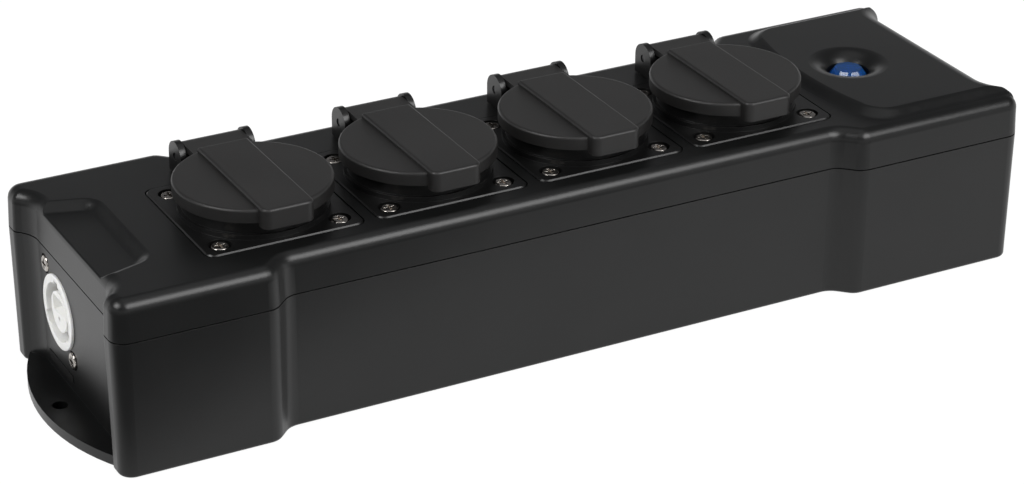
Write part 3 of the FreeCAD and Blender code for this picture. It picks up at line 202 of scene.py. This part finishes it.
brass = metal("brass", (0.78, 0.58, 0.28), smooth=0.25, rough=0.45, mark_size=0.0004, mark_height=0.00001)
plated_brass = metal("plated_brass", (0.72, 0.68, 0.58), smooth=0.22, rough=0.4, mark_size=0.0004,
                     mark_height=0.00001)
for number in socket_numbers:
    finish_nodes(brass, f"pole_contacts_{number}")
    finish_nodes(plated_brass, f"earth_clip_{number}")
finish_nodes(brass, "outlet_contacts", "inlet_contacts")


# Screws and hinge pins: the screws are nickel-plated steel with a cross recess, bright at the rims of
# the heads. The pins are blackened steel, pressed through the hinge ears.
nickel = metal("nickel", (0.46, 0.43, 0.40), smooth=0.12, rough=0.22, mark_size=0.0003, mark_height=0.00001)
finish_nodes(nickel, "flange_screws", "connector_screws", "case_screws", "terminal_screws")
black_steel = metal("black_steel", (0.07, 0.07, 0.072), smooth=0.28, rough=0.42, mark_size=0.0003,
                    mark_height=0.00001)
for number in socket_numbers:
    finish_nodes(black_steel, f"hinge_pin_{number}")


# Lid springs: drawn steel wire wound round each hinge pin, to shut the lid. A leg reaches down to the
# hinge base, and a tail lies under the top of the lid's barrel.
SPRING_WIRE_R = 0.00035
SPRING_WIRE_ROUNDNESS = 3
SPRING_COIL_R = 0.0020
SPRING_TURNS = 4.25
SPRING_PITCH = 0.00072
SPRING_LEG = 0.0042
SPRING_TAIL = 0.0008
POINTS_PER_TURN = 24
drawn_steel = metal("drawn_steel", (0.42, 0.42, 0.43), smooth=0.22, rough=0.38, mark_size=0.0003,
                    mark_height=0.000005)


def link(piece):
    """Puts a piece in the scene."""
    bpy.context.scene.collection.objects.link(piece)
    return piece


def spring_points(hinge):
    """Leg up, coil round the pin and tail towards the back."""
    steps = int(SPRING_TURNS * POINTS_PER_TURN)
    start = -SPRING_PITCH * SPRING_TURNS / 2
    points = [hinge + Vector((start, -SPRING_COIL_R, -SPRING_LEG))]
    for step in range(steps + 1):
        turns = step / POINTS_PER_TURN
        angle = math.pi - 2 * math.pi * turns
        across = Vector((0, math.cos(angle), math.sin(angle))) * SPRING_COIL_R
        points.append(hinge + across + Vector((start + SPRING_PITCH * turns, 0, 0)))
    return points + [points[-1] + Vector((0, SPRING_TAIL, 0))]


def spring_piece(name, points):
    """Round wire along points, as a closed mesh."""
    line = bpy.data.curves.new(name + "_line", "CURVE")
    line.dimensions = "3D"
    line.bevel_depth = SPRING_WIRE_R
    line.bevel_resolution = SPRING_WIRE_ROUNDNESS
    line.use_fill_caps = True
    spline = line.splines.new("POLY")
    spline.points.add(len(points) - 1)
    for knot, point in zip(spline.points, points):
        knot.co = (*point, 1)
    drawn = link(bpy.data.objects.new(name + "_line", line))
    evaluated = drawn.evaluated_get(bpy.context.evaluated_depsgraph_get())
    piece = link(bpy.data.objects.new(name, bpy.data.meshes.new_from_object(evaluated)))
    bpy.data.objects.remove(drawn)
    piece.data.materials.clear()
    piece.data.materials.append(drawn_steel)
    return piece


for number, joint in zip(socket_numbers, frame["joints"]):
    coil = spring_piece(f"spring_coil_{number}", spring_points(Vector(joint["pos_m"])))
    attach(coil, "housing")
    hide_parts(f"lid_spring_{number}")


# Lids: round lids with a raised band, a finger tab and a hinge barrel in one piece, moulded in a drier
# black than the box. Each turns on its pin between the hinge ears of its socket.
lid_black = moulded_plastic("lid_black", dark=(0.0090, 0.0086, 0.0084), light=(0.0120, 0.0115, 0.0112),
                            smooth=0.40, rough=0.48, specular=0.45, grain_size=0.0004,
                            grain_height=0.00005, edge_radius=0.0001)
for number in socket_numbers:
    finish_nodes(lid_black, f"lid_{number}")


# End connectors: a white twist-lock outlet on the left end and a blue inlet on the right, moulded in
# hard plastic, each with a keyed ring, a slotted core and two screws through the end wall.
outlet_white = moulded_plastic("outlet_white", dark=(0.88, 0.88, 0.86), light=(0.92, 0.92, 0.90),
                               smooth=0.28, rough=0.4, specular=0.5, grain_size=0.0005,
                               grain_height=0.00001, edge_radius=0.0003)
inlet_blue = moulded_plastic("inlet_blue", dark=(0.02, 0.09, 0.40), light=(0.025, 0.11, 0.46),
                             smooth=0.28, rough=0.4, specular=0.5, grain_size=0.0005,
                             grain_height=0.00001, edge_radius=0.0003)
white_shader = outlet_white.node_tree.nodes["Principled BSDF"]
white_shader.inputs["Subsurface Weight"].default_value = 0.4
white_shader.inputs["Subsurface Radius"].default_value = (1.0, 1.0, 0.9)
white_shader.inputs["Subsurface Scale"].default_value = 0.0015
finish_nodes(outlet_white, "outlet_body")
finish_nodes(inlet_blue, "inlet_body")


# Strip: a bare plate of thin black film with rounded corners. It is stuck to the foot of the outlet's
# end wall, above the mounting ear, and leans with the wall's draft.
STRIP_LENGTH = 0.0200
STRIP_HEIGHT = 0.0030
STRIP_THICKNESS = 0.00015
STRIP_CORNER_R = 0.0005
STRIP_CORNER_STEPS = 6
STRIP_ASIDE = 0.0019       # middle of the strip from the outlet's middle, towards the back
STRIP_DROP = 0.0193        # middle of the strip below the outlet's middle
WALL_DRAFT = math.radians(0.7)
SEAM_DROP = 0.0177         # outlet's middle below the seam, where the draft starts


def strip_outline():
    """Points round the strip's face, anticlockwise about its middle."""
    half_length = STRIP_LENGTH / 2 - STRIP_CORNER_R
    half_height = STRIP_HEIGHT / 2 - STRIP_CORNER_R
    points = []
    for quarter, (side, rise) in enumerate(((1, 1), (-1, 1), (-1, -1), (1, -1))):
        middle = Vector((side * half_length, rise * half_height))
        for step in range(STRIP_CORNER_STEPS + 1):
            angle = math.pi / 2 * (quarter + step / STRIP_CORNER_STEPS)
            points.append(middle + Vector((math.cos(angle), math.sin(angle))) * STRIP_CORNER_R)
    return points


strip_black = moulded_plastic("strip_black", dark=(0.004, 0.004, 0.004), light=(0.006, 0.006, 0.006),
                              smooth=0.55, rough=0.70, specular=0.15, grain_size=0.0004,
                              grain_height=0.000004, edge_radius=0.00008)
strip_shape = bmesh.new()
strip_face = strip_shape.faces.new([strip_shape.verts.new((x, y, 0)) for x, y in strip_outline()])
raised = bmesh.ops.extrude_face_region(strip_shape, geom=[strip_face])
raised_corners = [item for item in raised["geom"] if isinstance(item, bmesh.types.BMVert)]
bmesh.ops.translate(strip_shape, vec=(0, 0, STRIP_THICKNESS), verts=raised_corners)
bmesh.ops.recalc_face_normals(strip_shape, faces=strip_shape.faces)
strip_mesh = bpy.data.meshes.new("bare_strip")
strip_shape.to_mesh(strip_mesh)
strip_shape.free()
strip_mesh.materials.append(strip_black)
strip = link(bpy.data.objects.new("bare_strip", strip_mesh))
mounts = {mount["name"]: mount for mount in frame["record"]["mounts"]}
outlet_middle = Vector(mounts["mains_outlet"]["pos_m"])
strip_inward = math.tan(WALL_DRAFT) * (SEAM_DROP + STRIP_DROP)
strip_middle = outlet_middle + Vector((strip_inward, STRIP_ASIDE, -STRIP_DROP))
outward = Vector((-math.cos(WALL_DRAFT), 0, -math.sin(WALL_DRAFT)))
along = Vector((0, -1, 0))
strip_turn = Matrix((along, outward.cross(along), outward)).transposed().to_4x4()
strip.matrix_world = Matrix.Translation(strip_middle) @ strip_turn
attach(strip, "housing")


# Pilot lamp: a blue cut lens in a dish, clear plastic with eight broad and eight narrow facets round a
# flat crown. It sits over a small light source in a holder, and a ring below clamps them up against the
# lip of the dish.
LENS_R = 0.0065
LENS_FLANGE = 0.0014
LENS_WALL = 0.0012
LENS_SOLID = 0.0033        # clear plastic between the room for the light source and the crown
LENS_SIDES = 96
LENS_FACETS = 8
LENS_CROWN_R = 0.0043      # middle of the flat crown to the middle of its sides
LENS_CROWN_SUNK = 0.0011   # flat crown below the top of the lens
LENS_CORNER_CUT = 0.00018  # depth of the narrow facets that take off the corners of the crown
LENS_FACET_TILT = math.radians(54)
LENS_TURN = math.radians(-28)
LENS_SOFT_EDGE = 0.00012
LENS_SOFT_STEPS = 2
LENS_SOFT_ANGLE = math.radians(12)
CLEAR_DRIFT_SCALE = 300.0
CLEAR_DRIFT_DETAIL = 3.0
CLEAR_IOR = 1.49


def turned_shape(profile, sides):
    """Mesh of a (radius, height) profile turned about Z; the profile starts and ends on the axis."""
    shape = bmesh.new()
    angles = [2 * math.pi * step / sides for step in range(sides)]
    rings = []
    for radius, height in profile:
        if radius == 0:
            ring = [shape.verts.new((0, 0, height))] * sides
        else:
            ring = [shape.verts.new((radius * math.cos(a), radius * math.sin(a), height)) for a in angles]
        rings.append(ring)
    for lower, upper in zip(rings, rings[1:]):
        for step in range(sides):
            after = (step + 1) % sides
            corners = [lower[step], lower[after], upper[after], upper[step]]
            shape.faces.new(list(dict.fromkeys(corners)))
    return shape


def cut_facet(shape, angle, reach, height):
    """Cuts a tilted facet that meets the crown at a distance from its middle, and closes the cut."""
    outwards = Vector((math.cos(angle), math.sin(angle), 0))
    normal = outwards * math.sin(LENS_FACET_TILT) + Vector((0, 0, math.cos(LENS_FACET_TILT)))
    cut = bmesh.ops.bisect_plane(shape, geom=shape.verts[:] + shape.edges[:] + shape.faces[:],
                                 plane_co=outwards * reach + Vector((0, 0, height)), plane_no=normal,
                                 clear_outer=True)
    rim = [item for item in cut["geom_cut"] if isinstance(item, bmesh.types.BMEdge)]
    bmesh.ops.edgenet_fill(shape, edges=rim)


def clear_plastic(name, colour, smooth, rough, clear):
    """Tinted clear plastic with a gloss that drifts a little."""
    material, shader = new_material(name)
    tree = material.node_tree
    place = add(tree, "ShaderNodeTexCoord")
    drift = add(tree, "ShaderNodeTexNoise", scale=CLEAR_DRIFT_SCALE, detail=CLEAR_DRIFT_DETAIL)
    join(tree,
         (place.outputs["Object"], drift.inputs["Vector"]),
         (spread(tree, drift.outputs["Fac"], smooth, rough), shader.inputs["Roughness"]))
    shader.inputs["Base Color"].default_value = (*colour, 1)
    shader.inputs["Transmission Weight"].default_value = clear
    shader.inputs["IOR"].default_value = CLEAR_IOR
    return material


lens_low, lens_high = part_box("pilot_lens")
lens_height = lens_high.z - lens_low.z - LENS_CROWN_SUNK
lens_flange_r = (lens_high.x - lens_low.x) / 2
lens_room = LENS_R - LENS_WALL
lens_roof = lens_height - LENS_SOLID
lens_corner_r = LENS_CROWN_R / math.cos(math.pi / LENS_FACETS)
lens_profile = [(0, lens_roof), (lens_room, lens_roof), (lens_room, 0), (lens_flange_r, 0),
                (lens_flange_r, LENS_FLANGE), (LENS_R, LENS_FLANGE), (LENS_R, lens_height), (0, lens_height)]
lens = turned_shape(lens_profile, LENS_SIDES)
for facet in range(2 * LENS_FACETS):
    facet_angle = math.pi * facet / LENS_FACETS - math.pi / 2 + LENS_TURN
    facet_reach = LENS_CROWN_R if facet % 2 else lens_corner_r - LENS_CORNER_CUT
    cut_facet(lens, facet_angle, facet_reach, lens_height)
bmesh.ops.recalc_face_normals(lens, faces=lens.faces)
lens_mesh = bpy.data.meshes.new("jewel_lens")
lens.to_mesh(lens_mesh)
lens.free()
lens_mesh.materials.append(clear_plastic("lens_blue", (0.02, 0.18, 0.60), smooth=0.06, rough=0.13, clear=0.8))
jewel = link(bpy.data.objects.new("jewel_lens", lens_mesh))
jewel.location = ((lens_low.x + lens_high.x) / 2, (lens_low.y + lens_high.y) / 2, lens_low.z)
softened = jewel.modifiers.new("softened facets", "BEVEL")
softened.width = LENS_SOFT_EDGE
softened.segments = LENS_SOFT_STEPS
softened.limit_method = "ANGLE"
softened.angle_limit = LENS_SOFT_ANGLE
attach(jewel, "housing")
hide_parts("pilot_lens")
led_clear = clear_plastic("led_clear", (0.75, 0.8, 0.9), smooth=0.07, rough=0.13, clear=0.6)
finish_nodes(led_clear, "pilot_led")
finish_nodes(cap_grey, "pilot_holder", "pilot_ring")


# Wiring: insulated copper conductors, clamped from connector to connector past every socket. Two thin
# leads branch off to the lamp.
line_brown = moulded_plastic("line_brown", dark=(0.10, 0.04, 0.018), light=(0.13, 0.055, 0.022),
                             smooth=0.35, rough=0.5, specular=0.5, grain_size=0.0006,
                             grain_height=0.00001, edge_radius=0.0001)
neutral_blue = moulded_plastic("neutral_blue", dark=(0.02, 0.10, 0.40), light=(0.03, 0.13, 0.48),
                               smooth=0.35, rough=0.5, specular=0.5, grain_size=0.0006,
                               grain_height=0.00001, edge_radius=0.0001)
earth_green = moulded_plastic("earth_green", dark=(0.05, 0.28, 0.04), light=(0.65, 0.60, 0.03),
                              smooth=0.35, rough=0.5, specular=0.5, grain_size=0.0006,
                              grain_height=0.00001, edge_radius=0.0001)
lead_black = moulded_plastic("lead_black", dark=(0.02, 0.02, 0.02), light=(0.03, 0.03, 0.03),
                             smooth=0.4, rough=0.55, specular=0.4, grain_size=0.0006,
                             grain_height=0.00001, edge_radius=0.0001)
finish_nodes(line_brown, "line_wires")
finish_nodes(neutral_blue, "neutral_wires")
finish_nodes(earth_green, "earth_wires")
finish_nodes(lead_black, "lamp_leads")


# Studio floor: a pale table of paper that glows to the eye and in gloss, and shows the box's shadow. Its
# lit part ends just in front of the box. A black sheet under the box is painted shade: it darkens the holes of the
# ears.
VIEW_AZIMUTH = math.radians(-28.112)
FLOOR_REACH = 6.0
FLOOR_SIDES = 96
FLOOR_GAP = 0.0002         # floor below the underside of the box
FLOOR_GLOW = 0.93          # the floor as the camera sees it
PAPER_GREY = 0.8           # how much light the floor throws back on the box
SHADOW_GREY = 0.12         # the share of the seen floor that takes shadows
TABLE_GLOW = 0.83          # the table as the box mirrors it
TABLE_EDGE = 0.145         # from the box's middle towards the viewer, where the lit table ends
TABLE_FADE = 0.04
TABLE_DARK = 0.03
SHADE_REACH = 0.0020       # edge of the shade inside the tips of the mounting ears
SHADE_WIDTH = 0.030
SHADE_GAP = 0.0001

floor_white, floor_shader = new_material("floor_white")
floor_tree = floor_white.node_tree
floor_tree.nodes.remove(floor_shader)
paper = add(floor_tree, "ShaderNodeBsdfDiffuse", color=(PAPER_GREY, PAPER_GREY, PAPER_GREY, 1))
veil = add(floor_tree, "ShaderNodeBsdfDiffuse", color=(SHADOW_GREY, SHADOW_GREY, SHADOW_GREY, 1))
glow = add(floor_tree, "ShaderNodeEmission")
seen_floor = add(floor_tree, "ShaderNodeAddShader")
floor_mix = add(floor_tree, "ShaderNodeMixShader")
floor_path = add(floor_tree, "ShaderNodeLightPath")
camera_or_gloss = add(floor_tree, "ShaderNodeMath", operation="MAXIMUM")
any_seen = add(floor_tree, "ShaderNodeMath", operation="MAXIMUM")
floor_place = add(floor_tree, "ShaderNodeTexCoord")
toward_viewer = add(floor_tree, "ShaderNodeVectorMath", operation="DOT_PRODUCT")
toward_viewer.inputs[1].default_value = (math.sin(VIEW_AZIMUTH), -math.cos(VIEW_AZIMUTH), 0)
fading = add(floor_tree, "ShaderNodeMapRange", from_min=TABLE_EDGE - TABLE_FADE, from_max=TABLE_EDGE,
             to_min=TABLE_GLOW, to_max=TABLE_DARK)
seen_glow = add(floor_tree, "ShaderNodeMath", operation="MULTIPLY")
seen_glow.inputs[1].default_value = FLOOR_GLOW
glow_level = add(floor_tree, "ShaderNodeMath", operation="MAXIMUM")
join(floor_tree,
     (floor_place.outputs["Object"], toward_viewer.inputs[0]),
     (toward_viewer.outputs["Value"], fading.inputs["Value"]),
     (floor_path.outputs["Is Camera Ray"], seen_glow.inputs[0]),
     (seen_glow.outputs["Value"], glow_level.inputs[0]),
     (fading.outputs["Result"], glow_level.inputs[1]),
     (glow_level.outputs["Value"], glow.inputs["Strength"]),
     (floor_path.outputs["Is Camera Ray"], camera_or_gloss.inputs[0]),
     (floor_path.outputs["Is Glossy Ray"], camera_or_gloss.inputs[1]),
     (camera_or_gloss.outputs["Value"], any_seen.inputs[0]),
     (floor_path.outputs["Is Transmission Ray"], any_seen.inputs[1]),
     (veil.outputs["BSDF"], seen_floor.inputs[0]),
     (glow.outputs["Emission"], seen_floor.inputs[1]),
     (any_seen.outputs["Value"], floor_mix.inputs["Fac"]),
     (paper.outputs["BSDF"], floor_mix.inputs[1]),
     (seen_floor.outputs["Shader"], floor_mix.inputs[2]),
     (floor_mix.outputs["Shader"], floor_tree.nodes["Material Output"].inputs["Surface"]))
floor_shape = bmesh.new()
bmesh.ops.create_circle(floor_shape, cap_ends=True, segments=FLOOR_SIDES, radius=FLOOR_REACH)
floor_mesh = bpy.data.meshes.new("floor")
floor_shape.to_mesh(floor_mesh)
floor_shape.free()
floor_mesh.materials.append(floor_white)
floor = link(bpy.data.objects.new("floor", floor_mesh))
floor.location.z = construction_box[0][2] - FLOOR_GAP

# Painted shade: a black sheet just under the box, where the floor lies in the box's shade, seen through the holes
# of the ears.
painted_shade_black, shade_shader = new_material("painted_shade_black")
shade_shader.inputs["Base Color"].default_value = (0.002, 0.002, 0.002, 1)
shade_shader.inputs["Roughness"].default_value = 0.9
shade_shader.inputs["Specular IOR Level"].default_value = 0.0
shade_x = construction_box[1][0] - SHADE_REACH
shade_y = SHADE_WIDTH / 2
shade_corners = [(-shade_x, -shade_y, 0), (shade_x, -shade_y, 0),
                 (shade_x, shade_y, 0), (-shade_x, shade_y, 0)]
shade_mesh = bpy.data.meshes.new("shade")
shade_mesh.from_pydata(shade_corners, [], [(0, 1, 2, 3)])
shade_mesh.materials.append(painted_shade_black)
shade = link(bpy.data.objects.new("shade", shade_mesh))
shade.location.z = construction_box[0][2] - SHADE_GAP


# Studio light: three soft boxes and a dim sky that is white only near the horizon. The key at the front
# right draws the line of light along the top edge, and the fill at the left lights the outlet's end.
SKY_WHITE_TO = 0.10        # height on the sky, from 0 at the horizon to 1 overhead
SKY_DIM_FROM = 0.30
SKY_DIM = (0.14, 0.14, 0.144)
world = bpy.data.worlds.new("studio")
world.use_nodes = True
bpy.context.scene.world = world
sky_tree = world.node_tree
sky_place = add(sky_tree, "ShaderNodeTexCoord")
sky_height = add(sky_tree, "ShaderNodeSeparateXYZ")
sky_ramp = add(sky_tree, "ShaderNodeValToRGB")
sky_low, sky_high = sky_ramp.color_ramp.elements
sky_low.position = SKY_WHITE_TO
sky_low.color = (1, 1, 1, 1)
sky_high.position = SKY_DIM_FROM
sky_high.color = (*SKY_DIM, 1)
join(sky_tree,
     (sky_place.outputs["Generated"], sky_height.inputs["Vector"]),
     (sky_height.outputs["Z"], sky_ramp.inputs["Fac"]),
     (sky_ramp.outputs["Color"], sky_tree.nodes["Background"].inputs["Color"]))


def soft_box(name, toward, distance, width, height, power):
    """Rectangular lamp that faces the box from a direction."""
    lamp = bpy.data.lights.new(name, "AREA")
    lamp.shape = "RECTANGLE"
    lamp.size = width
    lamp.size_y = height
    lamp.energy = power
    holder = link(bpy.data.objects.new(name, lamp))
    direction = Vector(toward).normalized()
    holder.location = direction * distance
    holder.rotation_euler = direction.to_track_quat("Z", "Y").to_euler()


soft_box("key", toward=(0.27, -0.65, 0.69), distance=1.3, width=0.85, height=0.70, power=13)
soft_box("left_fill", toward=(-0.70, -0.08, 0.71), distance=1.5, width=0.7, height=0.6, power=11.5)
soft_box("overhead", toward=(0.10, 0.0, 0.99), distance=1.2, width=1.2, height=0.8, power=1.5)


# Camera: a long lens at the front left of the box, above its deck and turned a little about its own
# axis, so that the box fills the frame.
VIEW_TARGET = Vector((-0.008975, -0.006145, 0.025699))
VIEW_DISTANCE = 0.956717
VIEW_ELEVATION = math.radians(26.576)
VIEW_ROLL = math.radians(0.274)
VIEW_LENS_MM = 108.017
VIEW_SENSOR_MM = 36.0
back = Vector((math.sin(VIEW_AZIMUTH) * math.cos(VIEW_ELEVATION),
               -math.cos(VIEW_AZIMUTH) * math.cos(VIEW_ELEVATION), math.sin(VIEW_ELEVATION)))
level = Vector((math.cos(VIEW_AZIMUTH), math.sin(VIEW_AZIMUTH), 0))
upright = back.cross(level)
right = level * math.cos(VIEW_ROLL) + upright * math.sin(VIEW_ROLL)
up = upright * math.cos(VIEW_ROLL) - level * math.sin(VIEW_ROLL)
camera_data = bpy.data.cameras.new("camera")
camera_data.lens = VIEW_LENS_MM
camera_data.sensor_width = VIEW_SENSOR_MM
camera = link(bpy.data.objects.new("camera", camera_data))
camera_turn = Matrix((right, up, back)).transposed().to_4x4()
camera.matrix_world = Matrix.Translation(VIEW_TARGET + back * VIEW_DISTANCE) @ camera_turn
bpy.context.scene.camera = camera
bpy.context.scene.view_settings.view_transform = "Standard"
